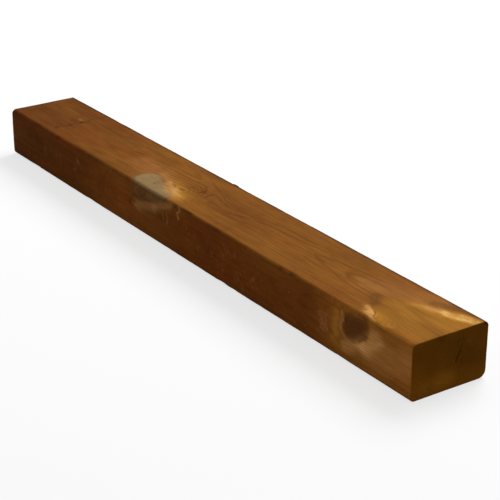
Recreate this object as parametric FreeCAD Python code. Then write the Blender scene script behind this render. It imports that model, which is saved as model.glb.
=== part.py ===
"""Decking joist: one length of planed softwood with a rectangular section and rounded arrises.

It is a single sawn and planed piece, so it is one solid. Both ends are cross-cut square and left sharp.

Frame, in millimetres: X runs along the joist, Y across its wide faces and Z up. The origin is the centre
of the underside, so the joist lies on Z = 0 on one of its wide faces.
"""

import FreeCAD
import Part

import math
import os

# Driving dimensions, in millimetres.
LENGTH = 600.0
WIDTH = 70.0
DEPTH = 45.0
ARRIS_RADIUS = 4.0  # the moulder's rounding of the two upper arrises and the lower front one
KNOCKED_ARRIS_RADIUS = 6.0  # the lower back arris, which is rounded further by handling

PARTS_FOLDER = "parts"


def section_corners():
    """The section's corners, counter-clockwise seen from +X, each as (y, z, inward y, inward z, radius)."""
    front, back = -WIDTH / 2, WIDTH / 2
    underside, top = 0.0, DEPTH
    return [
        (front, underside, 1, 1, ARRIS_RADIUS),
        (back, underside, -1, 1, KNOCKED_ARRIS_RADIUS),
        (back, top, -1, -1, ARRIS_RADIUS),
        (front, top, 1, -1, ARRIS_RADIUS),
    ]


def arris_arc(x, corner, leaves_along_y):
    """The quarter round at one corner, from the face it follows to the face it leads into.

    leaves_along_y is true where the outline leaves the corner along Y, as the underside's start does.
    """
    y, z, inward_y, inward_z, radius = corner
    centre_y = y + inward_y * radius
    centre_z = z + inward_z * radius
    half_way = radius * math.sqrt(0.5)
    on_side = FreeCAD.Vector(x, y, centre_z)
    on_flat = FreeCAD.Vector(x, centre_y, z)
    middle = FreeCAD.Vector(x, centre_y - inward_y * half_way, centre_z - inward_z * half_way)
    if leaves_along_y:
        return Part.Arc(on_side, middle, on_flat)
    return Part.Arc(on_flat, middle, on_side)


def section_wire(x):
    """The closed outline of the section in the plane at x: four quarter rounds joined by four flats."""
    arcs = []
    for place, corner in enumerate(section_corners()):
        arcs.append(arris_arc(x, corner, leaves_along_y=place % 2 == 0))
    edges = []
    for arc, next_arc in zip(arcs, arcs[1:] + arcs[:1]):
        edges.append(arc.toShape())
        edges.append(Part.LineSegment(arc.EndPoint, next_arc.StartPoint).toShape())
    return Part.Wire(edges)


def joist():
    """The section carried from one square-cut end to the other."""
    end_face = Part.Face(section_wire(-LENGTH / 2))
    return end_face.extrude(FreeCAD.Vector(LENGTH, 0, 0))


def export(name, shape):
    """Writes one sub-part as parts/NAME.step and prints its size and volume."""
    if not shape.isValid() or shape.Volume <= 0:
        raise RuntimeError(f"{name} isn't a valid solid")
    shape.exportStep(os.path.join(PARTS_FOLDER, name + ".step"))
    box = shape.BoundBox
    print(f"{name}: {box.XLength:g} x {box.YLength:g} x {box.ZLength:g} mm, {shape.Volume:.0f} mm3")


os.makedirs(PARTS_FOLDER, exist_ok=True)
export("joist", joist())
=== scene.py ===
"""Looks of a decking joist: one length of planed softwood under a brown pressure treatment.

The timber is one closed skin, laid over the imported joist. Its section is carried along its length and both
sawn ends are filled, then planing waves, raised grain, knots, checks and knocked arrises move the skin by
fractions of a millimetre. The grain is worked out in solid wood, so every ring runs over the arrises from
one face to the next and out of the ends.

Places on the timber are in millimetres: along from its middle towards the end with the dark knot, across
from its front face and up from its underside.
"""

import logging
import math
from dataclasses import dataclass, field, replace
from enum import Enum
from typing import Any, Callable, Sequence

import bpy
import numpy as np
from mathutils import Matrix, Vector


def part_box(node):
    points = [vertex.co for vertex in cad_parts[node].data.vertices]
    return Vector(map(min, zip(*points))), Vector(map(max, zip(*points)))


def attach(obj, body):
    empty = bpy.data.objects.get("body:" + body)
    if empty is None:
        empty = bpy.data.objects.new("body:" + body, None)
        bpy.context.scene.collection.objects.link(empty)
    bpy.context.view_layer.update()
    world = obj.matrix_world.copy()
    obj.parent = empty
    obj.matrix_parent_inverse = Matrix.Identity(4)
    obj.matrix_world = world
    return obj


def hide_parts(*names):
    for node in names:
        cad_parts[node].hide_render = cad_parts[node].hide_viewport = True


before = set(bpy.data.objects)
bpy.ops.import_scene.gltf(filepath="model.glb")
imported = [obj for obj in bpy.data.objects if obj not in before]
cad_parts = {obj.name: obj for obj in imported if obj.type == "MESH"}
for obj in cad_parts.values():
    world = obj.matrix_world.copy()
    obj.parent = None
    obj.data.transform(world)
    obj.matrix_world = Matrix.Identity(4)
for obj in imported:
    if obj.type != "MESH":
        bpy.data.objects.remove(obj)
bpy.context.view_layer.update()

MM = 0.001  # one millimetre in metres
NODE = "joist"
FINE_PLACES = 4001  # how finely a crowding is summed
FADE_BELL = 0.62  # the width of the bell curve that a mark fades with, as a share of its fade

PACKED_LOW, PACKED_HIGH = (np.array(corner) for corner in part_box(NODE))  # in metres
LENGTH, WIDTH, DEPTH = (float(side) for side in PACKED_HIGH / MM - PACKED_LOW / MM)  # in millimetres

log = logging.getLogger("joist")

Array = np.ndarray
Spot = tuple[float, float]
Place = tuple[float, float, float]
Colour = tuple[float, float, float, float]


def linear_colour(srgb: str) -> Colour:
    """An sRGB hex colour in the linear values that shaders take.

    Args:
        srgb: six hex digits after a hash sign.

    Returns:
        Red, green, blue and an alpha of 1.
    """
    shares = [int(srgb[place:place + 2], 16) / 255 for place in (1, 3, 5)]
    red, green, blue = (s / 12.92 if s <= 0.04045 else ((s + 0.055) / 1.055) ** 2.4 for s in shares)
    return red, green, blue, 1.0


def smooth_step(value: Array, low: float, high: float) -> Array:
    """0 below low, 1 above high and a cubic S between them.

    Args:
        value: where to read it.
        low: the end that gives 0, which may be the greater of the two.
        high: the end that gives 1.

    Returns:
        The S curve's height at each value.
    """
    share = np.clip((value - low) / (high - low), 0.0, 1.0)
    return share * share * (3.0 - 2.0 * share)


def bump(value: Array, centre: float, width: float) -> Array:
    """A bell curve, exp(-((value - centre) / width) squared).

    Args:
        value: where to read it.
        centre: where it is 1.
        width: the distance at which it has fallen to about a third.

    Returns:
        The bell's height at each value.
    """
    return np.exp(-(((value - centre) / width) ** 2))


def value_noise(places: Array, cell: Place, seed: int) -> Array:
    """Smooth random values: a lattice of random numbers, blended between its corners with an S curve.

    Args:
        places: points in millimetres, one to a row.
        cell: the lattice's spacing along each axis, in millimetres.
        seed: picks the random numbers.

    Returns:
        A value from -1 to 1 at each point.
    """
    scaled = places / np.array(cell)
    base = np.floor(scaled).astype(int)
    share = scaled - base
    share = share * share * (3.0 - 2.0 * share)
    base -= base.min(axis=0)
    lattice = np.random.default_rng(seed).uniform(-1.0, 1.0, size=tuple(base.max(axis=0) + 2))
    total = np.zeros(len(places))
    for corner in np.ndindex(2, 2, 2):
        weight = np.prod(np.where(corner, share, 1.0 - share), axis=1)
        i, j, k = (base + np.array(corner)).T
        total += weight * lattice[i, j, k]
    return total


def graded_places(low: float, high: float, count: int, crowding: Callable[[Array], Array]) -> Array:
    """Places from low to high that stand closer together where crowding is greater.

    The crowding is summed along the way, and the places divide that sum into equal parts.

    Args:
        low: the first place.
        high: the last place.
        count: how many places, both ends included.
        crowding: how densely they stand at each place, in any unit.

    Returns:
        The places, in order.
    """
    fine = np.linspace(low, high, FINE_PLACES)
    density = crowding(fine)
    total = np.concatenate([[0.0], np.cumsum((density[1:] + density[:-1]) / 2)])
    return np.interp(np.linspace(0.0, total[-1], count), total, fine)


class Side(Enum):
    """The faces that a mark can be kept to, each with its outward direction."""

    ANY = (0.0, 0.0, 0.0)
    TOP = (0.0, 0.0, 1.0)
    FRONT = (0.0, -1.0, 0.0)
    NEAR_END = (1.0, 0.0, 0.0)

    def facing(self, normals: Array) -> Array:
        """1 where the skin faces this way and 0 where it has turned away from it."""
        if self is Side.ANY:
            return np.ones(len(normals))
        return smooth_step(normals @ np.array(self.value), 0.45, 0.85)


class Look(Enum):
    """What a mark does to the wood. The value is the name of the skin's attribute that carries it."""

    RESIN = "resin"  # wood soaked with golden resin beside a knot
    BLEACH_AND_PAINTED_HIGHLIGHT = "bleach_and_painted_highlight"  # pale fibres that took little of the treatment, and painted highlights
    STAIN_AND_PAINTED_SHADE = "stain_and_painted_shade"  # dark, dirty or over-treated wood, and painted shadows
    GLOSS_AND_PAINTED_SHEEN = "gloss_and_painted_sheen"  # a glossier planed knot, with a painted grey sheen standing in for the light it reflects
    FIGURE = "figure"  # growth rings that stand out


@dataclass(frozen=True)
class Mark:
    """A soft-edged stroke on the skin, which tints it and can also press into it.

    Attributes:
        look: what it does to the wood.
        start: one end of its centre line.
        end: the other end.
        half_width: from the centre line to where it starts to fade.
        fade: how far past that it takes to fade to a fourteenth.
        strength: from 0 to 1.
        depth: how far it presses in, or stands out where negative.
        side: the face that it is kept to.
    """

    look: Look
    start: Place
    end: Place
    half_width: float
    fade: float
    strength: float
    depth: float = 0.0
    side: Side = Side.ANY

    def cover(self, places: Array, normals: Array) -> Array:
        """How fully the stroke covers each place.

        Past the half width the cover falls as exp(-(distance / (0.62 fade)) squared).

        Args:
            places: points of the skin.
            normals: the skin's outward directions there.

        Returns:
            1 along the stroke, falling to 0 past its fade.
        """
        start, end = np.array(self.start), np.array(self.end)
        run = end - start
        share = np.clip((places - start) @ run / max(run @ run, 1e-9), 0.0, 1.0)
        distance = np.linalg.norm(places - start - share[:, None] * run, axis=1)
        past = np.maximum(distance - self.half_width, 0.0)
        return bump(past, 0.0, FADE_BELL * self.fade) * self.side.facing(normals)


def on_top(look: Look, start: Spot, end: Spot, *numbers: float) -> Mark:
    """A stroke on the top: its ends along and across, then its half width, fade, strength and depth."""
    return Mark(look, (*start, DEPTH), (*end, DEPTH), *numbers, side=Side.TOP)


def on_front(look: Look, start: Spot, end: Spot, *numbers: float) -> Mark:
    """A stroke on the front face: its ends along and up, then the same numbers as for on_top."""
    return Mark(look, (start[0], 0.0, start[1]), (end[0], 0.0, end[1]), *numbers, side=Side.FRONT)


def on_near_end(look: Look, start: Spot, end: Spot, *numbers: float) -> Mark:
    """A stroke on the near end: its ends across and up, then the same numbers as for on_top."""
    return Mark(look, (LENGTH / 2, *start), (LENGTH / 2, *end), *numbers, side=Side.NEAR_END)


@dataclass(frozen=True)
class Section:
    """The joist's section: a rectangle with a quarter round at each corner, in millimetres.

    Attributes:
        width: across, from the front face to the back.
        depth: up, from the underside to the top.
        arris: radius of the two upper arrises and the lower front one.
        knocked_arris: radius of the lower back arris.
    """

    width: float
    depth: float
    arris: float = 4.0
    knocked_arris: float = 6.0

    def corners(self) -> list[tuple[float, float, float, float]]:
        """The corners, from the lower front one and towards the back first.

        Returns:
            Each arc's centre, across and up, its radius, and the angle at which its arc begins.
        """
        r, k = self.arris, self.knocked_arris
        return [
            (self.width - k, k, k, -math.pi / 2),
            (self.width - r, self.depth - r, r, 0.0),
            (r, self.depth - r, r, math.pi / 2),
            (r, r, r, math.pi),
        ]

    def arc_starts(self) -> Array:
        """How far along the outline each arc begins, and the whole outline's length last.

        Returns:
            Five lengths. The outline begins where the lower front arris meets the underside.
        """
        flats = [
            self.width - self.arris - self.knocked_arris,
            self.depth - self.arris - self.knocked_arris,
            self.width - 2 * self.arris,
            self.depth - 2 * self.arris,
        ]
        radii = [radius for _, _, radius, _ in self.corners()]
        starts, here = [], 0.0
        for flat, radius in zip(flats, radii):
            starts.append(here + flat)
            here += flat + radius * math.pi / 2
        return np.array(starts + [here])

    def outline(self, run: Array) -> tuple[Array, Array]:
        """The outline and its outward direction at each length along it.

        On an arc the angle is the arc's first angle plus length over radius. A flat runs straight from
        the last arc's end to the next arc's start.

        Args:
            run: lengths along the outline, from 0 to its whole length.

        Returns:
            Points across and up, and unit directions out of the section, one to a row.
        """
        starts = self.arc_starts()
        points, outward = np.zeros((len(run), 2)), np.zeros((len(run), 2))
        corners = self.corners()
        for place, (across, up, radius, angle) in enumerate(corners):
            begin = starts[place]
            end = begin + radius * math.pi / 2
            on_arc = (run >= begin) & (run <= end)
            turn = angle + (run[on_arc] - begin) / radius
            outward[on_arc] = np.stack([np.cos(turn), np.sin(turn)], axis=1)
            points[on_arc] = np.array([across, up]) + radius * outward[on_arc]
            out = np.array([math.cos(angle), math.sin(angle)])
            first = np.array([across, up]) + radius * out
            along = np.array([-out[1], out[0]])
            last_end = 0.0 if place == 0 else starts[place - 1] + corners[place - 1][2] * math.pi / 2
            on_flat = (run < begin) & (run >= last_end)
            points[on_flat] = first + (run[on_flat] - begin)[:, None] * along
            outward[on_flat] = out
        return points, outward


@dataclass(frozen=True)
class Knot:
    """A branch's wood inside the stem: two balls and the cone that wraps them.

    Attributes:
        root: the larger ball's centre.
        root_radius: its radius.
        tip: the smaller ball's centre.
        tip_radius: its radius.
        swell: how far the planed knot stands proud of the shrunken wood round it.
        whorl_end: where the disturbed grain beyond its tip ends.
        reach: how far from it the rings still bend to go round it.
        whorl_girth: the whorl's radius at the root, as a share of the root's.
        whorl_tip: its radius at its end.
        whorl_ring: the ring coordinate on the whorl's face.
        whorl_fall: how much that falls with each millimetre away.
    """

    root: Place
    root_radius: float
    tip: Place
    tip_radius: float
    swell: float
    whorl_end: Place
    reach: float
    whorl_girth: float = 0.8
    whorl_tip: float = 3.0
    whorl_ring: float = 34.0
    whorl_fall: float = 0.55

    def distance(self, places: Array) -> Array:
        """How far each place is outside the knot, negative inside it.

        Seen along the axis, the cone that touches both balls is a straight line. A place is measured
        from that line where it lies beside the cone, and otherwise from the nearer ball.

        Args:
            places: points in millimetres.

        Returns:
            The distances, in millimetres.
        """
        root, tip = np.array(self.root), np.array(self.tip)
        length = float(np.linalg.norm(tip - root))
        axis = (tip - root) / length
        offset = places - root
        along = offset @ axis
        aside = np.sqrt(np.maximum((offset ** 2).sum(axis=1) - along ** 2, 0.0))
        lean = (self.root_radius - self.tip_radius) / length
        level = math.sqrt(1.0 - lean * lean)
        beside = along * level - aside * lean
        to_root = np.hypot(along, aside) - self.root_radius
        to_tip = np.hypot(along - length, aside) - self.tip_radius
        to_cone = aside * level + along * lean - self.root_radius
        return np.where(beside < 0.0, to_root, np.where(beside > length * level, to_tip, to_cone))

    def wrapped(self, ring: Array, places: Array) -> Array:
        """Bends the stem's rings round the knot.

        Beside the knot the ring coordinate falls with the distance from the whorl, which is a slender
        cone from the knot's root to the end of the disturbed grain. Further off it is the stem's own.

        Args:
            ring: the stem's ring coordinate at each place.
            places: points in millimetres.

        Returns:
            The bent ring coordinate.
        """
        whorl = replace(self, root_radius=self.whorl_girth * self.root_radius, tip=self.whorl_end,
                        tip_radius=self.whorl_tip)
        distance = whorl.distance(places)
        share = bump(np.maximum(distance, 0.0), 0.0, self.reach)
        return ring * (1.0 - share) + share * (self.whorl_ring - self.whorl_fall * distance)


@dataclass(frozen=True)
class Growth:
    """The stem's growth rings, as cones about a pith that runs inside the joist.

    Attributes:
        ring_width: from one ring to the next across the stem, in millimetres. Planed pine of this
            grade has rings from 2 to 4 mm wide.
        taper: how fast a ring's radius grows along the joist.
        pith_across: where the pith runs, from the front face.
        pith_up: where it runs, from the underside.
        sweep: how far the pith bows towards the back, beside the pale knot.
        dip: how far it bows towards the front, beyond that knot.
        nose_fall: how much further the rings fall before the dark knot, which draws their noses.
    """

    ring_width: float = 2.6
    taper: float = 0.011
    pith_across: float = 36.0
    pith_up: float = 28.0
    sweep: float = 16.0
    dip: float = 13.0
    nose_fall: float = 5.5

    def radius(self, places: Array, knots: Sequence[Knot]) -> Array:
        """The ring coordinate: the radius that a place's ring would have at the joist's middle.

        It is the distance from the bowed pith, less the taper and the fall before the dark knot. Each
        knot then bends it so that the rings sweep round it, and slow waves are added last.

        Args:
            places: points in millimetres.
            knots: the knots that the rings pass.

        Returns:
            The ring coordinate in millimetres.
        """
        along, across, up = places.T
        bow = self.sweep * bump(along, -95.0, 62.0) - self.dip * bump(along, 24.0, 40.0)
        wander = 1.5 * np.sin(along / 95.0 + 0.6)
        distance = np.hypot(across - self.pith_across - bow - wander, up - self.pith_up)
        fall = self.taper * along + self.nose_fall * smooth_step(along, 105.0, 235.0)
        waves = 0.7 * value_noise(places, (70.0, 22.0, 22.0), seed=11)
        waves += 0.35 * value_noise(places, (24.0, 7.0, 7.0), seed=12)
        ring = distance - fall
        for knot in knots:
            ring = knot.wrapped(ring, places)
        return ring + waves


@dataclass(frozen=True)
class TreatedPineFinish:
    """Scots pine, planed by a moulder and pressure treated brown.

    The cutters leave the flats smooth to the eye and the treatment raises their fibres a little, which
    gives a matt face with a fine lengthwise texture. Late wood is denser and shows as thin brown lines.

    Attributes:
        early_wood: the wide pale part of each ring.
        late_wood: the thin dark part.
        rust_tone: the redder wood that mottles it.
        resin: wood soaked in resin beside a knot.
        resin_bright: where resin is thickest.
        bleached_and_painted_highlight: fibres that took little treatment, and painted highlights.
        stained_and_painted_shade: dirt and over-treated wood, and painted shadows.
        pale_heart: the pale knot's wood.
        dark_heart: the dark knot's wood.
        painted_sheen_heart: the pale knot's planed face, with a painted grey sheen for the light it reflects.
        bark_line: the line of bark round a knot.
        sawn_end: the end grain, which drinks the treatment and goes darker.
        fibre_width: a bundle of fibres, in millimetres. One fibre, at 0.03 mm, is too fine to show,
            so this is the width of the bundles that planing lifts.
        fibre_length: how long such a bundle runs, in millimetres.
        streak_size: across the lengthwise streaks, in millimetres.
        streak_draw: how many times longer than wide the streaks are.
        mottle_size: across the large patches of uneven treatment, in millimetres.
        mottle_draw: how many times longer than wide they are.
        blotch_size: across the small patches, in millimetres.
        blotch_draw: how many times longer than wide they are.
        speck_size: across the torn specks that planing leaves, in millimetres.
        knot_ring: from one of a knot's own growth rings to the next, in millimetres.
        raised: how far the fibres stand up, in millimetres.
    """

    early_wood: str = "#80501B"
    late_wood: str = "#5A300C"
    rust_tone: str = "#7C3E14"
    resin: str = "#B27C2A"
    resin_bright: str = "#DDB673"
    bleached_and_painted_highlight: str = "#CB9459"
    stained_and_painted_shade: str = "#402412"
    pale_heart: str = "#7C4E26"
    dark_heart: str = "#5C3313"
    painted_sheen_heart: str = "#806843"
    bark_line: str = "#3B2210"
    sawn_end: str = "#6F4205"
    fibre_width: float = 0.55
    fibre_length: float = 16.0
    streak_size: float = 3.2
    streak_draw: float = 22.0
    mottle_size: float = 38.0
    mottle_draw: float = 3.0
    blotch_size: float = 9.0
    blotch_draw: float = 1.8
    speck_size: float = 1.5
    knot_ring: float = 1.9
    raised: float = 0.16


def add_node(tree: bpy.types.NodeTree, kind: str, settings: dict[str, Any] | None = None,
             sockets: dict[str | int, Any] | None = None) -> bpy.types.Node:
    """Adds a node, with its settings, socket values and links.

    Args:
        tree: the node tree.
        kind: the node's type, without "ShaderNode".
        settings: properties of the node and their values.
        sockets: input names or numbers, each with a value or the output that feeds it.

    Returns:
        The new node.
    """
    node = tree.nodes.new("ShaderNode" + kind)
    for name, value in (settings or {}).items():
        setattr(node, name, value)
    for name, value in (sockets or {}).items():
        if isinstance(value, bpy.types.NodeSocket):
            tree.links.new(value, node.inputs[name])
        else:
            node.inputs[name].default_value = value
    return node


def emptied_tree(owner: bpy.types.Material | bpy.types.World) -> bpy.types.NodeTree:
    """A material's or world's node tree, turned on and cleared."""
    owner.use_nodes = True
    owner.node_tree.nodes.clear()
    return owner.node_tree


def put_in_scene(name: str, data: bpy.types.ID) -> bpy.types.Object:
    """A new object of a mesh, a light or a camera, linked to the scene."""
    made = bpy.data.objects.new(name, data)
    bpy.context.scene.collection.objects.link(made)
    return made


def pointing(bearing: float, height_angle: float) -> Vector:
    """The direction (cos bearing cos height, sin bearing cos height, sin height).

    Args:
        bearing: anticlockwise from the joist's length, in degrees.
        height_angle: up from the floor, in degrees.

    Returns:
        The direction, of length 1.
    """
    turn, rise = math.radians(bearing), math.radians(height_angle)
    return Vector((math.cos(turn) * math.cos(rise), math.sin(turn) * math.cos(rise), math.sin(rise)))


def seen_directly(tree: bpy.types.NodeTree) -> bpy.types.NodeSocket:
    """An output that is 1 for rays from the camera, off a glossy face or through glass, and 0 for others."""
    path = add_node(tree, "LightPath")
    seen = path.outputs["Is Camera Ray"]
    for name in ("Is Glossy Ray", "Is Transmission Ray"):
        seen = add_node(tree, "Math", {"operation": "MAXIMUM"}, {0: seen, 1: path.outputs[name]}).outputs[0]
    return seen


class TreatedPine:
    """The timber's material: rings, fibres, knots, stains and painted light and shade, drawn from the skin's
    attributes.
    """

    def __init__(self, finish: TreatedPineFinish, growth: Growth) -> None:
        """Starts an empty material.

        Args:
            finish: the colours and sizes to draw with.
            growth: the rings, for the spacing of the late wood.
        """
        self.finish = finish
        self.growth = growth
        self.material = bpy.data.materials.new("treated_pine")
        self.tree = emptied_tree(self.material)

    def add(self, kind: str, settings: dict[str, Any] | None = None,
            sockets: dict[str | int, Any] | None = None) -> bpy.types.Node:
        """Adds a node to this material, as add_node does."""
        return add_node(self.tree, kind, settings, sockets)

    def math(self, operation: str, first: Any, second: Any = 0.0, clamp: bool = False) -> Any:
        """An operation on one or two numbers or sockets, as an output socket."""
        node = self.add("Math", {"operation": operation, "use_clamp": clamp}, {0: first, 1: second})
        return node.outputs[0]

    def times(self, first: Any, second: Any, clamp: bool = False) -> Any:
        """The product of two numbers or sockets, as an output socket."""
        return self.math("MULTIPLY", first, second, clamp)

    def plus(self, first: Any, second: Any, clamp: bool = False) -> Any:
        """The sum of two numbers or sockets, as an output socket."""
        return self.math("ADD", first, second, clamp)

    def attribute(self, name: str) -> Any:
        """The output that carries one of the skin's attributes."""
        return self.add("Attribute", {"attribute_name": name}).outputs["Fac"]

    def ramp(self, value: Any, low: float, high: float, to_low: float = 0.0, to_high: float = 1.0) -> Any:
        """Carries a value's range onto another with an S curve, as an output socket.

        Args:
            value: the socket to read.
            low: the value that gives to_low.
            high: the value that gives to_high.
            to_low: what low becomes.
            to_high: what high becomes.

        Returns:
            The new value's socket.
        """
        node = self.add("MapRange", {"interpolation_type": "SMOOTHSTEP"}, {
            "Value": value, "From Min": low, "From Max": high, "To Min": to_low, "To Max": to_high})
        return node.outputs["Result"]

    def mix(self, share: Any, first: Any, second: Any, blend: str = "MIX") -> Any:
        """Mixes two colours, each a hex colour or a socket, as an output socket."""
        colours = [linear_colour(c) if isinstance(c, str) else c for c in (first, second)]
        node = self.add("Mix", {"data_type": "RGBA", "blend_type": blend}, {
            0: share, 6: colours[0], 7: colours[1]})
        return node.outputs[2]

    def noise(self, places: Any, size: float, detail: float, roughness: float = 0.5) -> Any:
        """Noise whose blotches are about size millimetres across, as an output socket from 0 to 1."""
        node = self.add("TexNoise", {"noise_dimensions": "3D"}, {
            "Vector": places, "Scale": 1.0 / size, "Detail": detail, "Roughness": roughness})
        return node.outputs["Fac"]

    def stretched(self, places: Any, along: float) -> Any:
        """The same places squeezed along the grain, so that noise on them is drawn out that many times."""
        node = self.add("VectorMath", {"operation": "MULTIPLY"}, {0: places, 1: (1.0 / along, 1.0, 1.0)})
        return node.outputs["Vector"]

    def build(self) -> bpy.types.Material:
        """Builds the whole material.

        Returns:
            The finished material.
        """
        f = self.finish
        metres = self.add("TexCoord").outputs["Object"]
        scaled = self.add("VectorMath", {"operation": "SCALE"}, {0: metres, "Scale": 1.0 / MM})
        places = scaled.outputs["Vector"]
        fibre_places = self.stretched(places, f.fibre_length / f.fibre_width)
        fibres = self.noise(fibre_places, f.fibre_width, 3.0, 0.6)
        streaks = self.noise(self.stretched(places, f.streak_draw), f.streak_size, 3.0, 0.55)
        mottle = self.noise(self.stretched(places, f.mottle_draw), f.mottle_size, 3.0, 0.5)
        blotches = self.noise(self.stretched(places, f.blotch_draw), f.blotch_size, 4.0, 0.6)

        end_grain = self.attribute("end_grain")
        late = self.late_wood(streaks, blotches)
        figure = self.times(self.attribute(Look.FIGURE.value), self.ramp(mottle, 0.3, 0.65, 0.55, 1.0))

        rust = self.plus(self.attribute("rust"), self.ramp(mottle, 0.36, 0.66, -0.1, 0.35), clamp=True)
        wood = self.mix(rust, f.early_wood, f.rust_tone)
        wood = self.mix(self.ramp(streaks, 0.35, 0.72, 0.0, 0.36), wood, f.late_wood)
        wood = self.mix(self.ramp(blotches, 0.42, 0.7, 0.0, 0.26), wood, f.late_wood)
        wood = self.mix(self.times(end_grain, 0.85), wood, f.sawn_end)
        wood = self.resinous(wood, blotches)
        wood = self.mix(self.times(late, figure), wood, f.late_wood)
        wood = self.knotted(wood, blotches)
        wood = self.marked(wood, blotches, fibres, places, mottle)
        wood = self.toned_with_painted_light(wood, fibres)

        roughness = self.plus(self.ramp(fibres, 0.3, 0.7, 0.68, 0.8), self.times(end_grain, 0.1))
        sheen = self.times(self.attribute(Look.GLOSS_AND_PAINTED_SHEEN.value), 0.14)
        roughness = self.math("SUBTRACT", roughness, sheen)
        relief = self.plus(self.times(fibres, 0.75), self.times(late, -0.25))
        relief = self.plus(relief, self.times(blotches, 0.5))
        lifted = self.add("Bump", None, {"Strength": 0.55, "Distance": f.raised * MM, "Height": relief})
        shader = self.add("BsdfPrincipled", None, {
            "Base Color": wood, "Roughness": roughness, "Specular IOR Level": 0.02, "IOR": 1.5,
            "Normal": lifted.outputs["Normal"]})
        self.add("OutputMaterial", None, {"Surface": shader.outputs["BSDF"]})
        return self.material

    def late_wood(self, streaks: Any, blotches: Any) -> Any:
        """The late wood's lines: each ring darkens slowly and then ends at once, as a year's growth does.

        Args:
            streaks: lengthwise noise that shifts the lines a little.
            blotches: finer noise that does so too.

        Returns:
            A socket from 0 in early wood to 1 in the darkest late wood.
        """
        shift = self.plus(self.times(streaks, 0.9), self.times(blotches, 0.8))
        ring = self.math("DIVIDE", self.plus(self.attribute("ring"), shift), self.growth.ring_width)
        year = self.math("FRACT", ring)
        slow = self.ramp(year, 0.55, 0.92)
        stop = self.ramp(year, 1.0, 0.93)
        return self.times(slow, stop)

    def resinous(self, wood: Any, blotches: Any) -> Any:
        """Soaks the wood beside the knots in golden resin, more brightly where it is thick."""
        resin = self.times(self.attribute(Look.RESIN.value), self.ramp(blotches, 0.3, 0.62, 0.7, 1.15))
        wood = self.mix(resin, wood, self.finish.resin)
        return self.mix(self.ramp(resin, 0.6, 1.3), wood, self.finish.resin_bright)

    def marked(self, wood: Any, blotches: Any, fibres: Any, places: Any, mottle: Any) -> Any:
        """Lays pale fibres, torn specks, stains, painted highlights and shadows over the wood, broken by
        noise.
        """
        f = self.finish
        torn = self.ramp(fibres, 0.35, 0.6, 0.65, 1.1)
        bleach_and_painted_highlight = self.times(self.attribute(Look.BLEACH_AND_PAINTED_HIGHLIGHT.value), torn, clamp=True)
        wood = self.mix(bleach_and_painted_highlight, wood, f.bleached_and_painted_highlight)
        specks = self.ramp(self.noise(places, f.speck_size, 1.0), 0.66, 0.78, 0.0, 0.24)
        specks = self.times(specks, self.ramp(mottle, 0.42, 0.6))
        wood = self.mix(specks, wood, f.bleached_and_painted_highlight)
        uneven = self.ramp(blotches, 0.3, 0.62, 0.7, 1.15)
        stain_and_painted_shade = self.times(self.attribute(Look.STAIN_AND_PAINTED_SHADE.value), uneven, clamp=True)
        return self.mix(stain_and_painted_shade, wood, f.stained_and_painted_shade)

    def knotted(self, wood: Any, blotches: Any) -> Any:
        """Sets the knots into the wood: fine rings, a soft line of bark and the pale knot's painted sheen."""
        f = self.finish
        for name, heart in (("pale_knot", f.pale_heart), ("dark_knot", f.dark_heart)):
            distance = self.attribute(name)
            ragged = self.plus(distance, self.ramp(blotches, 0.25, 0.75, -1.6, 1.6))
            ring = self.math("FRACT", self.times(ragged, 1.0 / f.knot_ring))
            rings = self.times(self.ramp(ring, 0.2, 0.95), 0.3)
            rings = self.plus(rings, self.ramp(blotches, 0.35, 0.65, 0.2, 0.0))
            core = self.mix(rings, heart, f.bark_line)
            if name == "pale_knot":
                patchy = self.ramp(blotches, 0.3, 0.6, 0.72, 1.0)
                # Painted sheen: the grey that the pale knot's planed top reflects, laid into its colour.
                core = self.mix(self.times(self.attribute(Look.GLOSS_AND_PAINTED_SHEEN.value), patchy), core, f.painted_sheen_heart)
            wood = self.mix(self.ramp(ragged, 2.8, -2.4), wood, core)
            bark = self.times(self.ramp(ragged, -2.4, -0.2), self.ramp(ragged, 2.0, 0.1))
            wood = self.mix(self.times(bark, 0.22), wood, f.bark_line)
        return wood

    def toned_with_painted_light(self, wood: Any, fibres: Any) -> Any:
        """Lightens and darkens the wood by its slow change along the joist, its painted arris light and shade
        and its fibres.
        """
        tone_and_painted_light = self.times(self.attribute("tone_and_painted_light"), self.ramp(fibres, 0.25, 0.75, 0.93, 1.07))
        grey = self.add("CombineColor", None, {0: tone_and_painted_light, 1: tone_and_painted_light, 2: tone_and_painted_light}).outputs[0]
        return self.mix(1.0, wood, grey, "MULTIPLY")


PALE_KNOT = Knot(root=(-70.0, 13.0, 37.0), root_radius=14.5, tip=(-27.0, 3.5, 43.5), tip_radius=5.5,
                 swell=0.35, whorl_end=(-30.0, 24.0, 44.0), reach=24.0)
DARK_KNOT = Knot(root=(233.0, 1.0, 31.0), root_radius=10.5, tip=(244.5, 3.0, 35.0), tip_radius=8.0,
                 swell=0.3, whorl_end=(252.0, 6.0, 40.0), reach=13.0)


def figure_marks() -> list[Mark]:
    """Where the growth rings stand out, on the top and round the pale knot."""
    return [
        Mark(Look.FIGURE, (-62, 38, DEPTH), (-20, 34, DEPTH), 9, 12, 0.9),
        Mark(Look.FIGURE, (-98, 44, DEPTH), (-62, 38, DEPTH), 3, 8, 0.4),
        Mark(Look.FIGURE, (-20, 36, DEPTH), (40, 36, DEPTH), 5, 13, 0.65),
        Mark(Look.FIGURE, (60, 44, DEPTH), (150, 46, DEPTH), 2, 9, 0.5),
        Mark(Look.FIGURE, (150, 35, DEPTH), (205, 36, DEPTH), 8, 11, 0.55),
        Mark(Look.FIGURE, (235, 25, DEPTH), (262, 30, DEPTH), 3, 10, 0.3),
    ]


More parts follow.
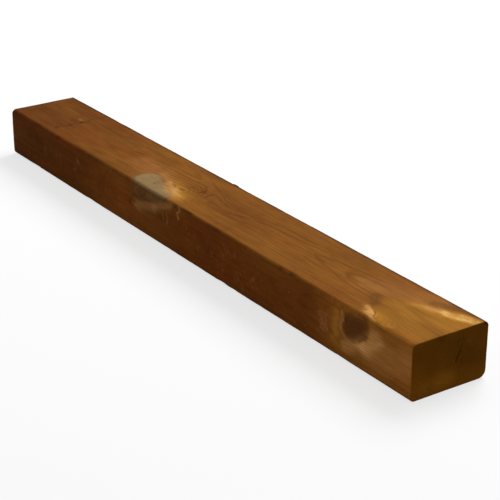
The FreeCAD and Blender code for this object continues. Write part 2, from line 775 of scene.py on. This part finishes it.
def pale_knot_marks() -> list[Mark]:
    """The pale knot's painted sheen, resin, pale collar, checks and a painted shadow beside it."""
    return [
        # Painted sheen on the knot's top and along the front's upper edge; these strokes also make it
        # glossier.
        on_top(Look.GLOSS_AND_PAINTED_SHEEN, (-74, 12), (-28, 5), 15, 6, 1),
        on_front(Look.GLOSS_AND_PAINTED_SHEEN, (-46, 37.5), (-26, 43.5), 1.5, 5, 0.3),
        on_top(Look.RESIN, (-48, 25), (-20, 14), 1.5, 15, 0.38),
        on_top(Look.RESIN, (-38, 21), (-20, 12), 1.5, 7, 0.46),
        on_top(Look.BLEACH_AND_PAINTED_HIGHLIGHT, (-38, 21.5), (-25, 10.5), 0.4, 4.5, 0.55, -0.15),
        on_top(Look.BLEACH_AND_PAINTED_HIGHLIGHT, (-50, 22.5), (-34, 12.5), 1, 6, 0.4),
        on_top(Look.BLEACH_AND_PAINTED_HIGHLIGHT, (-72, 29.5), (-52, 26), 0.8, 5, 0.2),
        on_top(Look.BLEACH_AND_PAINTED_HIGHLIGHT, (-110, 30), (-78, 31), 3, 13, 0.14),
        # A painted shadow on the top, beside the knot towards the back.
        on_top(Look.STAIN_AND_PAINTED_SHADE, (-82, 34), (-74, 30), 1.5, 6, 0.16),
        on_top(Look.STAIN_AND_PAINTED_SHADE, (-51, 28.5), (-38, 21), 0.1, 1.3, 0.4, 0.15),
        on_top(Look.STAIN_AND_PAINTED_SHADE, (-57.5, 16.5), (-57, 9), 0.1, 1.1, 0.5, 0.4),
        on_top(Look.STAIN_AND_PAINTED_SHADE, (-57.3, 12.5), (-52.5, 11), 0.1, 1, 0.35, 0.2),
        on_top(Look.STAIN_AND_PAINTED_SHADE, (-69, 9), (-62, 12), 0.1, 1.2, 0.25),
        on_top(Look.STAIN_AND_PAINTED_SHADE, (-24, 40.5), (-15, 34.5), 0.2, 1.5, 0.5, 0.1),
        on_top(Look.STAIN_AND_PAINTED_SHADE, (-15, 34.5), (-19, 30.5), 0.2, 1.8, 0.45, 0.1),
        on_top(Look.STAIN_AND_PAINTED_SHADE, (-32, 37.5), (-32, 30), 0.1, 1.3, 0.3, 0.1),
        on_front(Look.BLEACH_AND_PAINTED_HIGHLIGHT, (-66, 25), (-40, 32), 1.2, 6, 0.3, -0.1),
        on_front(Look.BLEACH_AND_PAINTED_HIGHLIGHT, (-40, 32), (-14, 42.5), 0.8, 4.5, 0.34, -0.1),
        on_front(Look.STAIN_AND_PAINTED_SHADE, (-77, 26.5), (-77.6, 20.5), 0.1, 1, 0.7, 0.6),
        on_front(Look.STAIN_AND_PAINTED_SHADE, (-80.6, 23.5), (-80.8, 18.5), 0.1, 1, 0.55, 0.5),
        on_front(Look.STAIN_AND_PAINTED_SHADE, (-73, 33), (-46, 35), 0.1, 1.8, 0.3, 0.1),
    ]


def dark_knot_marks() -> list[Mark]:
    """The dark knot's raised collar and upper edge with painted highlights, its pale halo on the front and
    the check beside it.
    """
    return [
        # Painted highlight: the light that the knot's raised collar catches at the arris; the collar also
        # stands out.
        on_top(Look.BLEACH_AND_PAINTED_HIGHLIGHT, (234, 12.5), (243, 8.5), 0.5, 4, 0.4, -0.2),
        on_top(Look.BLEACH_AND_PAINTED_HIGHLIGHT, (241, 9), (248.5, 5.5), 0.8, 3.6, 0.5, -0.3),
        on_top(Look.RESIN, (236, 11), (252, 4), 0.8, 4.5, 0.4),
        on_top(Look.RESIN, (249, 9), (266, 5), 1, 7, 0.4),
        on_top(Look.RESIN, (240, 22), (290, 14), 3, 16, 0.22),
        on_top(Look.STAIN_AND_PAINTED_SHADE, (234.5, 16.5), (244, 11.3), 0.1, 0.8, 0.45, 0.4),
        on_top(Look.STAIN_AND_PAINTED_SHADE, (244, 11.3), (255, 3.6), 0.1, 0.8, 0.55, 0.5),
        on_top(Look.STAIN_AND_PAINTED_SHADE, (223, 28), (231.5, 21.5), 1.2, 6.5, 0.42),
        on_top(Look.STAIN_AND_PAINTED_SHADE, (232, 22), (250, 26), 0.4, 4, 0.2),
        # A painted highlight along the knot's upper edge under the arris; these strokes also make it
        # glossier.
        on_front(Look.GLOSS_AND_PAINTED_SHEEN, (228, 41), (244, 41), 1, 4, 0.25),
        on_front(Look.BLEACH_AND_PAINTED_HIGHLIGHT, (226, 14), (246, 20.5), 1.6, 6, 0.34),
        on_front(Look.BLEACH_AND_PAINTED_HIGHLIGHT, (248, 20.5), (261.5, 32), 2.2, 7, 0.42),
        on_front(Look.STAIN_AND_PAINTED_SHADE, (229, 17.8), (240, 20.5), 0.1, 1.3, 0.3, 0.2),
        on_front(Look.STAIN_AND_PAINTED_SHADE, (243, 22.5), (250, 30), 0.2, 2.2, 0.5, 0.25),
        on_front(Look.RESIN, (214.5, 35), (213, 15), 0.6, 5.5, 0.28),
        on_front(Look.STAIN_AND_PAINTED_SHADE, (223.5, 35), (225.5, 33.5), 0.4, 2, 0.6, 0.25),
        on_front(Look.STAIN_AND_PAINTED_SHADE, (234, 33), (243, 36), 1, 5, 0.34),
        on_front(Look.BLEACH_AND_PAINTED_HIGHLIGHT, (221, 39), (221.5, 22), 0.3, 2.5, 0.22),
    ]


def weather_marks() -> list[Mark]:
    """Away from the knots: the near end's resin streak and its painted shadow, scuffs, dirt, checks and a
    dark back arris line.
    """
    marks = [
        on_top(Look.RESIN, (253, 43), (276, 51.5), 0.4, 5.5, 0.5, -0.1),
        on_top(Look.RESIN, (276, 51.5), (303, 62), 2, 6, 0.72, -0.1),
        on_top(Look.RESIN, (286, 56), (304, 64), 2, 5, 0.45),
        on_top(Look.BLEACH_AND_PAINTED_HIGHLIGHT, (257, 46.5), (304, 63.5), 0.5, 4, 0.32),
        on_front(Look.BLEACH_AND_PAINTED_HIGHLIGHT, (262, 20), (296, 26), 4, 13, 0.14),
        on_top(Look.RESIN, (252, 38), (300, 42), 4, 18, 0.3),
        # A painted shadow on the top, beside the raised resin streak.
        on_top(Look.STAIN_AND_PAINTED_SHADE, (258, 56), (284, 66), 1.6, 5, 0.3),
        on_top(Look.BLEACH_AND_PAINTED_HIGHLIGHT, (205, 40), (262, 56), 4, 13, 0.12),
        on_top(Look.STAIN_AND_PAINTED_SHADE, (-132, 40), (-121, 40.5), 0.3, 2.2, 0.42, 0.15),
        on_top(Look.STAIN_AND_PAINTED_SHADE, (-230.5, 66), (-229, 8), 0.2, 2, 0.3, 0.1),
        on_top(Look.BLEACH_AND_PAINTED_HIGHLIGHT, (-238, 40.5), (-234, 40), 0.4, 2.5, 0.22),
        on_front(Look.BLEACH_AND_PAINTED_HIGHLIGHT, (-0.5, 41.5), (0.4, 34.5), 0.3, 1.6, 0.5),
        Mark(Look.BLEACH_AND_PAINTED_HIGHLIGHT, (-2.5, 0.8, 44.2), (-0.5, 0.8, 44.2), 0.5, 1.6, 0.7),
        on_front(Look.BLEACH_AND_PAINTED_HIGHLIGHT, (-17, 34), (-17.2, 25), 0.2, 1.6, 0.3),
        on_front(Look.BLEACH_AND_PAINTED_HIGHLIGHT, (-24.5, 32.5), (-24.6, 26), 0.1, 1.5, 0.22),
        on_front(Look.BLEACH_AND_PAINTED_HIGHLIGHT, (-171.5, 32.5), (-170, 31.5), 0.5, 3, 0.3),
        on_front(Look.BLEACH_AND_PAINTED_HIGHLIGHT, (-177.5, 23), (-176, 22.5), 0.5, 3, 0.18),
        Mark(Look.STAIN_AND_PAINTED_SHADE, (4, 1.6, 44.2), (17, 1.6, 44.2), 0.3, 2, 0.45, 0.45),
        Mark(Look.STAIN_AND_PAINTED_SHADE, (-10, 1.4, 43.8), (60, 1.4, 43.8), 0.2, 1.8, 0.25, 0.1),
        # A dark line along the whole upper back arris.
        Mark(Look.STAIN_AND_PAINTED_SHADE, (-300, 67.6, 44.7), (300, 67.6, 44.7), 1.4, 1.4, 0.75),
        Mark(Look.STAIN_AND_PAINTED_SHADE, (-16, 67.5, 44.2), (-13.5, 67.5, 44.2), 0.8, 2.2, 0.2, -0.6),
        on_near_end(Look.STAIN_AND_PAINTED_SHADE, (45.5, 34), (44, 27.5), 0.05, 0.6, 0.6, 0.5),
        on_near_end(Look.STAIN_AND_PAINTED_SHADE, (44, 27.5), (40.5, 20.5), 0.1, 0.7, 0.7, 0.7),
        on_near_end(Look.STAIN_AND_PAINTED_SHADE, (46.2, 20.5), (46, 17.5), 0.05, 0.6, 0.5, 0.4),
        on_near_end(Look.STAIN_AND_PAINTED_SHADE, (42, 37), (42.5, 36), 0.1, 0.9, 0.5, 0.3),
        on_near_end(Look.STAIN_AND_PAINTED_SHADE, (46.5, 37.5), (46.8, 36), 0.1, 1, 0.5, 0.3),
        on_near_end(Look.RESIN, (12, 6), (34, 10), 2, 9, 0.12),
    ]
    for across, strength in ((62, 0.2), (46, 0.3), (37.5, 0.6), (25.5, 0.3), (12, 0.3)):
        marks.append(on_top(Look.STAIN_AND_PAINTED_SHADE, (-231, across), (-228, across - 1), 0.5, 2.2, strength, 0.15))
    for along in (194.5, 197, 199.5, 202.5):
        marks.append(on_front(Look.BLEACH_AND_PAINTED_HIGHLIGHT, (along, 30), (along, 15.5), 0.1, 1.1, 0.2))
    for along in (-233, -210, -204.5):
        marks.append(on_front(Look.BLEACH_AND_PAINTED_HIGHLIGHT, (along, 27.5), (along, 19.5), 0.1, 1.3, 0.16))
    chance = np.random.default_rng(51)  # each row drawn is a place along and up, a height and a strength
    scuffs = chance.uniform((8, 10, 1.5, 0.12), (112, 36, 5, 0.34), size=(26, 4)).tolist()
    runs = chance.uniform((-290, 30, 8, 0.08), (-95, 42, 28, 0.24), size=(18, 4)).tolist()
    for along, up, tall, strength in scuffs:
        marks.append(on_front(Look.BLEACH_AND_PAINTED_HIGHLIGHT, (along, up), (along, up - tall), 0.1, 0.9, strength))
    for along, up, tall, strength in runs:
        marks.append(on_front(Look.STAIN_AND_PAINTED_SHADE, (along, up), (along, up - tall), 0.4, 3, strength))
    return marks


@dataclass
class JoistTimber:
    """The whole timber: its skin, its two sawn ends and what is seen on them.

    Attributes:
        length: from end to end, in millimetres.
        section: the planed section.
        growth: the growth rings.
        knots: the knots, by the name of the attribute that carries each one's distance.
        marks: the strokes of resin, stains, pale fibres, painted highlights, painted shadows and painted
            sheen.
        rows: how many rings of vertices stand along the joist.
        columns: how many vertices go round the section.
        end_rings: how many rings of faces fill each end.
        end_easing: how far the sawn edge of each end is worn back.
    """

    length: float
    section: Section
    growth: Growth = field(default_factory=Growth)
    knots: dict[str, Knot] = field(default_factory=lambda: {"pale_knot": PALE_KNOT, "dark_knot": DARK_KNOT})
    marks: list[Mark] = field(default_factory=list)
    rows: int = 421
    columns: int = 184
    end_rings: int = 52
    end_easing: float = 0.45

    def along_places(self) -> Array:
        """Where the rings of vertices stand: closest together over the two knots."""
        half = self.length / 2 - self.end_easing

        def crowding(along: Array) -> Array:
            """About twice as many over the pale knot as elsewhere, and over the dark one."""
            return 1.0 + 0.9 * bump(along, -48.0, 48.0) + 0.9 * bump(along, 240.0, 24.0)

        return graded_places(-half, half, self.rows, crowding)

    def outline_places(self) -> Array:
        """Where the vertices stand round the section: closest on the front half of the top and front."""
        whole = self.section.arc_starts()[-1]
        front_arris = self.section.arc_starts()[2]

        def crowding(run: Array) -> Array:
            """Three times as many near the upper front arris as on the underside, and more on each arris."""
            arrises = sum(bump(run, start + 3.0, 4.0) for start in self.section.arc_starts()[:4])
            return 0.75 + 0.95 * bump(run, front_arris + 4.0, 34.0) + 0.9 * arrises

        return graded_places(0.0, whole, self.columns + 1, crowding)[:-1]

    def skin_grid(self) -> tuple[Array, Array]:
        """The planed faces: the section's outline carried along the joist.

        Returns:
            Places and outward directions, in arrays of rows by columns by 3.
        """
        points, outward = self.section.outline(self.outline_places())
        along = self.along_places()
        shape = (self.rows, self.columns)
        places = np.zeros(shape + (3,))
        places[..., 0] = along[:, None]
        places[..., 1:] = points[None]
        normals = np.zeros(shape + (3,))
        normals[..., 1:] = outward[None]
        return places, normals

    def end_grid(self, direction: int) -> tuple[Array, Array]:
        """One sawn end: outlines that shrink towards the section's centre, in the plane of the cut.

        The first outline is inset by the easing, and each next one by an equal share of the way.

        Args:
            direction: 1 for the near end and -1 for the far one.

        Returns:
            Places and outward directions, in arrays of end_rings by columns by 3.
        """
        points, outward = self.section.outline(self.outline_places())
        rim = points - self.end_easing * outward
        centre = np.array([self.section.width / 2, self.section.depth / 2])
        share = 1.0 - np.arange(self.end_rings) / self.end_rings
        places = np.zeros((self.end_rings, self.columns, 3))
        places[..., 0] = direction * self.length / 2
        places[..., 1:] = centre + share[:, None, None] * (rim - centre)
        normals = np.zeros_like(places)
        normals[..., 0] = direction
        return places, normals

    def relief(self, places: Array, normals: Array, ring: Array, looks: dict[Look, Array]) -> Array:
        """How far the finished surface stands out from the true section, in millimetres.

        It sums planing waves, grain that the treatment raised, the knots' swelling with a shrinkage
        gap round them, wear on the arrises, saw marks on the ends, and the marks' own depths.

        Args:
            places: points of the skin.
            normals: its outward directions.
            ring: the ring coordinate there.
            looks: how strongly each look shows there.

        Returns:
            The heights, negative where the surface is pressed in.
        """
        _, across, up = places.T
        end = np.abs(normals[:, 0])
        flat = np.max(np.abs(normals[:, 1:]), axis=1)
        height = 0.12 * value_noise(places, (90.0, 26.0, 26.0), seed=21) * (1.0 - end)
        height += 0.05 * value_noise(places, (14.0, 3.5, 3.5), seed=22)
        ridges = np.cos(2.0 * math.pi * ring / self.growth.ring_width)
        height += 0.05 * ridges * (0.3 + looks[Look.FIGURE]) * (1.0 - 0.5 * end)
        for knot in self.knots.values():
            distance = knot.distance(places)
            height += knot.swell * smooth_step(distance, 1.5, -4.0) * (1.0 - end)
            height -= 0.22 * bump(distance, 0.4, 1.1) * (1.0 - end)
        arris = smooth_step(flat, 0.999, 0.9) * (1.0 - end)
        knocks = value_noise(places, (9.0, 30.0, 30.0), seed=23)
        knocks += value_noise(places, (31.0, 40.0, 40.0), seed=24)
        height -= arris * (0.12 + 0.3 * np.maximum(knocks - 0.35, 0.0))
        saw = np.sin(2.0 * math.pi * (across + 0.18 * up + 0.012 * up ** 2) / 2.3)
        height += end * (0.05 * saw + 0.07 * value_noise(places, (5.0, 1.6, 1.6), seed=25))
        for mark in self.marks:
            if mark.depth:
                height -= mark.depth * mark.cover(places, normals)
        return height

    def look_strengths(self, places: Array, normals: Array) -> dict[Look, Array]:
        """How strongly each look shows at each place, from 0 to 1.

        Strokes of one look add up without passing 1, as 1 - (1 - a)(1 - b). The places are shifted a
        little by noise first, which frays the strokes along the grain. The ring figure starts from a faint
        level that is stronger on the sawn ends.

        Args:
            places: points of the skin.
            normals: its outward directions.

        Returns:
            One array for each look.
        """
        looks = {look: np.zeros(len(places)) for look in Look}
        end = np.abs(normals[:, 0])
        patchy = 0.5 + 0.5 * value_noise(places, (110.0, 30.0, 30.0), seed=31)
        looks[Look.FIGURE] += (0.1 + 0.2 * patchy) * (1.0 - 0.3 * end)
        looks[Look.STAIN_AND_PAINTED_SHADE] += 0.25 * np.maximum(value_noise(places, (26.0, 9.0, 9.0), seed=32) - 0.35, 0.0)
        arris = smooth_step(np.max(np.abs(normals[:, 1:]), axis=1), 0.995, 0.85) * (1.0 - end)
        nicks = np.maximum(value_noise(places, (6.0, 30.0, 30.0), seed=36) - 0.3, 0.0)
        looks[Look.STAIN_AND_PAINTED_SHADE] += 0.75 * arris * nicks
        shift = np.stack([value_noise(places, (15.0, 3.0, 3.0), seed=seed) for seed in (33, 34, 35)], axis=1)
        frayed = places + shift * np.array([2.6, 0.8, 0.8]) * (1.0 - 0.8 * end)[:, None]
        for mark in self.marks:
            cover = mark.strength * mark.cover(frayed, normals)
            looks[mark.look] = 1.0 - (1.0 - looks[mark.look]) * (1.0 - cover)
        return looks

    def tone_and_painted_light(self, places: Array, normals: Array) -> Array:
        """The slow change from darker at the far end to lighter at the near one, with painted light and
        shade.

        Each long face brightens along the joist, and most round the pale knot and beyond the dark one.
        The upper front arris has painted shade and the top's edge beside it a painted highlight. Noise
        mottles it all, the foot of the upright faces is darker, and the sawn ends are lighter towards
        their lower front corner.

        Args:
            places: points of the skin.
            normals: its outward directions.

        Returns:
            A multiplier for the wood's colour.
        """
        along, across, up = places.T
        end = np.abs(normals[:, 0])
        upright = normals[:, 1] ** 2
        front = smooth_step(-normals[:, 1], 0.0, 0.5)
        top = 0.93 + 0.0008 * along
        top += 0.17 * bump(along, -75.0, 45.0) - 0.05 * bump(along, -270.0, 60.0)
        side = 0.95 + 0.0006 * along
        side += front * (0.08 + 0.0004 * along)
        side += front * (0.48 * bump(along, -95.0, 42.0) + 0.56 * smooth_step(along, 178.0, 216.0))
        tone_and_painted_light = top * (1.0 - upright) + side * upright
        # Painted shade on the upper front arris where the light falls away, and a painted highlight on the
        # top's edge just before it.
        arris = smooth_step(normals[:, 2] * np.abs(normals[:, 1]), 0.08, 0.45)
        tone_and_painted_light *= 1.0 - front * arris * (0.24 - 0.16 * smooth_step(along, 120.0, 220.0))
        tone_and_painted_light *= 1.0 + 0.15 * bump(normals[:, 1], -0.2, 0.16) * smooth_step(normals[:, 2], 0.0, 0.9)
        tone_and_painted_light += 0.11 * value_noise(places, (60.0, 24.0, 24.0), seed=41)
        tone_and_painted_light += 0.08 * value_noise(places, (22.0, 9.0, 9.0), seed=42)
        tone_and_painted_light -= 0.12 * smooth_step(up, 12.0, 0.0) * (1.0 - end)
        sawn = 0.88 + 0.45 * smooth_step(up + 0.25 * across, 34.0, 12.0)
        sawn += 0.1 * value_noise(places, (20.0, 9.0, 9.0), seed=43)
        return np.where(end > 0.5, sawn, tone_and_painted_light)

    def rust(self, places: Array, normals: Array) -> Array:
        """How much redder than elsewhere the wood is: the upright faces are, and so are the top's far half.

        Args:
            places: points of the skin.
            normals: its outward directions.

        Returns:
            From 0 to about 0.6.
        """
        along = places[:, 0]
        patches = 0.14 * value_noise(places, (45.0, 18.0, 18.0), seed=44)
        upright = 0.45 + 0.3 * bump(along, 50.0, 70.0) - 0.45 * smooth_step(along, 170.0, 230.0)
        return normals[:, 1] ** 2 * upright + 0.22 * smooth_step(along, -60.0, -200.0) + patches

    def to_frame(self, places: Array) -> Array:
        """Carries places on the timber into the part's frame, in metres."""
        origin = np.array([(PACKED_LOW[0] + PACKED_HIGH[0]) / 2, PACKED_LOW[1], PACKED_LOW[2]])
        return places * MM + origin

    def faces(self) -> list[tuple[int, ...]]:
        """The faces of the skin, its two eased edges and the filled ends, all turned outwards.

        Vertex numbers run over the skin's grid, then the near end's, then the far end's, and the last
        two are the ends' centres. The grids wrap round in their second direction.

        Returns:
            Each face as its vertex numbers.
        """
        def strip(first: Array, second: Array) -> Array:
            """The quads between two rings of vertices."""
            turned = [np.roll(ring, -1, axis=-1) for ring in (first, second)]
            return np.stack([first, turned[0], turned[1], second], axis=-1)

        skin = np.arange(self.rows * self.columns).reshape(self.rows, self.columns)
        per_end = self.end_rings * self.columns
        near = skin.size + np.arange(per_end).reshape(self.end_rings, self.columns)
        far = near + per_end
        near_centre, far_centre = skin.size + 2 * per_end, skin.size + 2 * per_end + 1
        quads = [strip(skin[:-1], skin[1:]), strip(skin[-1:], near[:1]), strip(near[:-1], near[1:])]
        quads += [strip(far[:1], skin[:1]), strip(far[1:], far[:-1])]
        faces = [tuple(quad) for quad in np.concatenate([q.reshape(-1, 4) for q in quads]).tolist()]
        last, turned = near[-1], np.roll(near[-1], -1)
        faces += [(int(a), int(b), near_centre) for a, b in zip(last, turned)]
        last, turned = far[-1], np.roll(far[-1], -1)
        faces += [(int(b), int(a), far_centre) for a, b in zip(last, turned)]
        return faces

    def build(self) -> bpy.types.Object:
        """Builds the timber's mesh and writes what the material reads as attributes.

        Returns:
            The finished piece.
        """
        centre = np.array([self.section.width / 2, self.section.depth / 2])
        grids = [self.skin_grid(), self.end_grid(1), self.end_grid(-1)]
        places = np.concatenate([grid[0].reshape(-1, 3) for grid in grids])
        normals = np.concatenate([grid[1].reshape(-1, 3) for grid in grids])
        poles = np.array([[d * self.length / 2, *centre] for d in (1, -1)])
        places = np.concatenate([places, poles])
        normals = np.concatenate([normals, [[1.0, 0.0, 0.0], [-1.0, 0.0, 0.0]]])

        ring = self.growth.radius(places, list(self.knots.values()))
        looks = self.look_strengths(places, normals)
        shaped = places + normals * self.relief(places, normals, ring, looks)[:, None]
        mesh = bpy.data.meshes.new("joist_timber")
        mesh.from_pydata(self.to_frame(shaped).tolist(), [], self.faces())
        mesh.polygons.foreach_set("use_smooth", np.ones(len(mesh.polygons), dtype=bool))
        mesh.set_sharp_from_angle(angle=math.radians(38.0))

        values = {look.value: strength for look, strength in looks.items()}
        values |= {name: knot.distance(places) for name, knot in self.knots.items()}
        values |= {"ring": ring, "end_grain": np.abs(normals[:, 0]), "tone_and_painted_light": self.tone_and_painted_light(places, normals)}
        values["rust"] = self.rust(places, normals)
        for name, value in values.items():
            layer = mesh.attributes.new(name, "FLOAT", "POINT")
            layer.data.foreach_set("value", value.astype(np.float32))
        mesh.update()
        return put_in_scene("joist_timber", mesh)


@dataclass(frozen=True)
class Studio:
    """A plain pale floor and soft light: one wide panel behind and above the joist, and a pale room.

    Attributes:
        panel_width: the panel's side, in metres.
        panel_distance: from the joist to the panel, in metres.
        panel_height_angle: how high the panel stands over the floor, in degrees.
        panel_bearing: its bearing, anticlockwise from the joist's length, in degrees.
        panel_power: in watts.
        room_strength: the room's light from all round.
        floor_span: the floor's side, in metres.
        floor_white: the floor as the camera sees it.
        floor_glow: how much of that floor shines by itself, which keeps the joist's shadow light.
        floor_grey: the floor as the joist is lit by it.
    """

    panel_width: float = 1.1
    panel_distance: float = 1.8
    panel_height_angle: float = 48.0
    panel_bearing: float = 108.0
    panel_power: float = 34.0
    room_strength: float = 0.44
    floor_span: float = 12.0
    floor_white: str = "#F4F4F4"
    floor_glow: float = 0.7
    floor_grey: str = "#909090"

    def lay_floor(self) -> bpy.types.Object:
        """Lays the floor under the joist. The camera sees it white, with the joist's shadow on it."""
        half = self.floor_span / 2
        corners = [(-half, -half, 0.0), (half, -half, 0.0), (half, half, 0.0), (-half, half, 0.0)]
        mesh = bpy.data.meshes.new("studio_floor")
        mesh.from_pydata(corners, [], [(0, 1, 2, 3)])
        floor = put_in_scene("studio_floor", mesh)
        mesh.materials.append(self.floor_paint())
        return floor

    def floor_paint(self) -> bpy.types.Material:
        """Matt paint that is white to the camera and grey to the light that it sends back."""
        material = bpy.data.materials.new("floor_paint")
        tree = emptied_tree(material)
        seen = seen_directly(tree)
        white = add_node(tree, "BsdfDiffuse", None, {"Color": linear_colour(self.floor_white)})
        glow = add_node(tree, "Emission", None, {"Color": (1.0, 1.0, 1.0, 1.0), "Strength": 1.0})
        seen_floor = add_node(tree, "MixShader", None, {
            0: self.floor_glow, 1: white.outputs[0], 2: glow.outputs[0]})
        grey = add_node(tree, "BsdfDiffuse", None, {"Color": linear_colour(self.floor_grey)})
        both = add_node(tree, "MixShader", None, {0: seen, 1: grey.outputs[0], 2: seen_floor.outputs[0]})
        add_node(tree, "OutputMaterial", None, {"Surface": both.outputs[0]})
        return material

    def hang_panel(self, target: Vector) -> bpy.types.Object:
        """Hangs the light panel behind the joist, facing it.

        Args:
            target: the point that it faces.

        Returns:
            The light.
        """
        towards = pointing(self.panel_bearing, self.panel_height_angle)
        lamp = bpy.data.lights.new("soft_panel", "AREA")
        lamp.shape = "SQUARE"
        lamp.size = self.panel_width
        lamp.energy = self.panel_power
        panel = put_in_scene("soft_panel", lamp)
        panel.location = target + towards * self.panel_distance
        panel.rotation_euler = towards.to_track_quat("Z", "Y").to_euler()
        return panel

    def light_room(self) -> None:
        """Fills the world with even light. The camera, mirrors and glass see it white."""
        world = bpy.data.worlds.new("pale_room")
        bpy.context.scene.world = world
        tree = emptied_tree(world)
        seen = seen_directly(tree)
        strength = add_node(tree, "Mix", {"data_type": "FLOAT"}, {0: seen, 2: self.room_strength, 3: 1.0})
        room = add_node(tree, "Background", None, {
            "Color": (1.0, 1.0, 1.0, 1.0), "Strength": strength.outputs[0]})
        add_node(tree, "OutputWorld", None, {"Surface": room.outputs[0]})


@dataclass(frozen=True)
class Viewpoint:
    """Where the camera stands: in front of the near end, looking down along the joist.

    Attributes:
        aim: the point in the middle of the view, in metres.
        bearing: the camera's bearing from that point, anticlockwise from the joist's length, in degrees.
        height_angle: how far it looks down, in degrees.
        distance: from the point to the camera, in metres.
        roll: its turn about its own axis, in degrees.
        lens: in millimetres, on a sensor 36 mm wide.
    """

    aim: Place = (0.0628, -0.0062, 0.0225)
    bearing: float = -34.68
    height_angle: float = 23.80
    distance: float = 1.2953
    roll: float = -0.27
    lens: float = 115.4

    def set_up(self) -> bpy.types.Object:
        """Makes the camera and sets it as the scene's own."""
        back = pointing(self.bearing, self.height_angle)
        level = Vector((0.0, 0.0, 1.0)).cross(back).normalized()
        upright = back.cross(level)
        turn = Matrix.Rotation(math.radians(-self.roll), 3, back)
        axes = Matrix((turn @ level, turn @ upright, back)).transposed()
        camera = put_in_scene("camera", bpy.data.cameras.new("camera"))
        camera.data.lens = self.lens
        camera.data.sensor_width = 36.0
        camera.matrix_world = Matrix.Translation(Vector(self.aim) + back * self.distance) @ axes.to_4x4()
        bpy.context.scene.camera = camera
        return camera


def main() -> None:
    """Builds the timber, dresses it and sets up the floor, the light and the camera."""
    logging.basicConfig(level=logging.INFO, format="%(name)s: %(message)s")
    marks = figure_marks() + pale_knot_marks() + dark_knot_marks() + weather_marks()
    timber = JoistTimber(LENGTH, Section(WIDTH, DEPTH), marks=marks)
    piece = timber.build()
    piece.data.materials.append(TreatedPine(TreatedPineFinish(), timber.growth).build())
    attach(piece, "root")
    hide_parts(NODE)
    log.info("joist_timber: %d faces, %d marks", len(piece.data.polygons), len(marks))

    studio = Studio()
    studio.lay_floor()
    studio.light_room()
    panel = studio.hang_panel(Vector((0.0, 0.0, DEPTH * MM / 2)))
    camera = Viewpoint().set_up()
    log.info("studio: panel %.2f m up, camera %.2f m up", panel.location.z, camera.matrix_world.translation.z)
    bpy.context.scene.view_settings.view_transform = "Standard"


if __name__ == "__main__":
    main()
